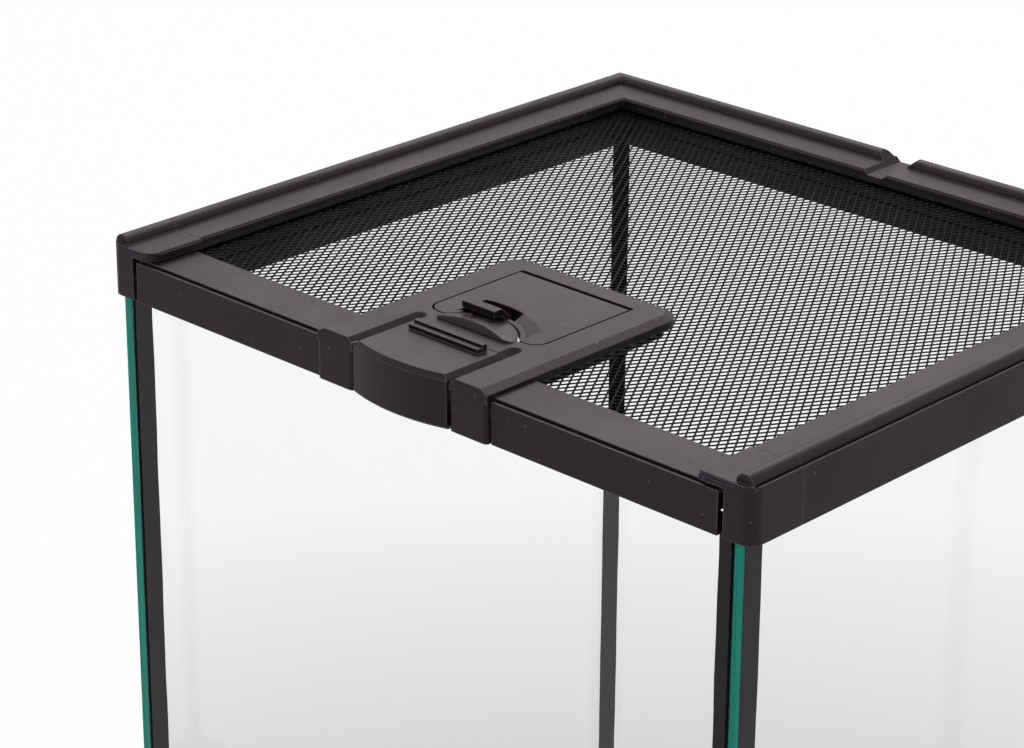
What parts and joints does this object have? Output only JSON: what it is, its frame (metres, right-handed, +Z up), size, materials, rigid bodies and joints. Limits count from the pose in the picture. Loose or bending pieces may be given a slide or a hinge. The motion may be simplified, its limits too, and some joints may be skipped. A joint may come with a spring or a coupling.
{
  "type": "reptile terrarium",
  "caption": "Small glass terrarium with a dark plastic frame, a mesh lid that slides out to the front, a flexing latch tongue in a housing, and a feeding hatch that swings up from the lid.",
  "frame": {"origin": "centre of the footprint on the floor", "axes": "+X to the right seen from the front, +Y to the rear, +Z up"},
  "size_m": [0.2, 0.1854, 0.3001],
  "materials": {
    "frame": "satin",
    "glass": "polished",
    "silicone": "satin",
    "mesh": "satin",
    "steel": "satin"
  },
  "bodies": {
    "tank": {"base_rail_front": "frame", "base_rail_rear": "frame", "base_rail_left": "frame", "base_rail_right": "frame", "base_corner_front_left": "frame", "base_corner_front_right": "frame", "base_corner_rear_left": "frame", "base_corner_rear_right": "frame", "glass_bottom": "glass", "glass_front": "glass", "glass_rear": "glass", "glass_left": "glass", "glass_right": "glass", "seal_front_left": "silicone", "seal_front_right": "silicone", "seal_rear_left": "silicone", "seal_rear_right": "silicone", "seal_bottom": "silicone", "top_rail_left": "frame", "top_rail_right": "frame", "top_rail_rear": "frame", "top_corner_front_left": "frame", "top_corner_front_right": "frame", "top_corner_rear_left": "frame", "top_corner_rear_right": "frame", "front_glass_trim": "frame"},
    "lid": {"lid_front_bar": "frame", "lid_side_bar_left": "frame", "lid_side_bar_right": "frame", "lid_rear_bar": "frame", "lid_mesh": "mesh", "latch_housing": "frame", "latch_clamp": "frame", "clamp_screws": "steel"},
    "tongue": {"latch_tongue": "frame"},
    "hatch": {"feeding_hatch": "frame"},
    "tab": {"hatch_tab": "frame"}
  },
  "joints": [
    {"name": "lid_slide", "type": "slide", "parent": "tank", "child": "lid", "axis": [0, -1, 0], "range_m": [0, 0.15]},
    {"name": "tongue_flex", "type": "hinge", "parent": "lid", "child": "tongue", "pos_m": [0, -0.0733, 0.2963], "axis": [-1, 0, 0], "range_deg": [0, 12], "stiffness_Nm_per_rad": 0.5},
    {"name": "hatch_swing", "type": "hinge", "parent": "lid", "child": "hatch", "pos_m": [0, -0.0343, 0.2962], "axis": [-1, 0, 0], "range_deg": [0, 95]},
    {"name": "tab_flex", "type": "hinge", "parent": "hatch", "child": "tab", "pos_m": [0, -0.05715, 0.2938], "axis": [-1, 0, 0], "range_deg": [0, 12], "stiffness_Nm_per_rad": 0.05}
  ]
}
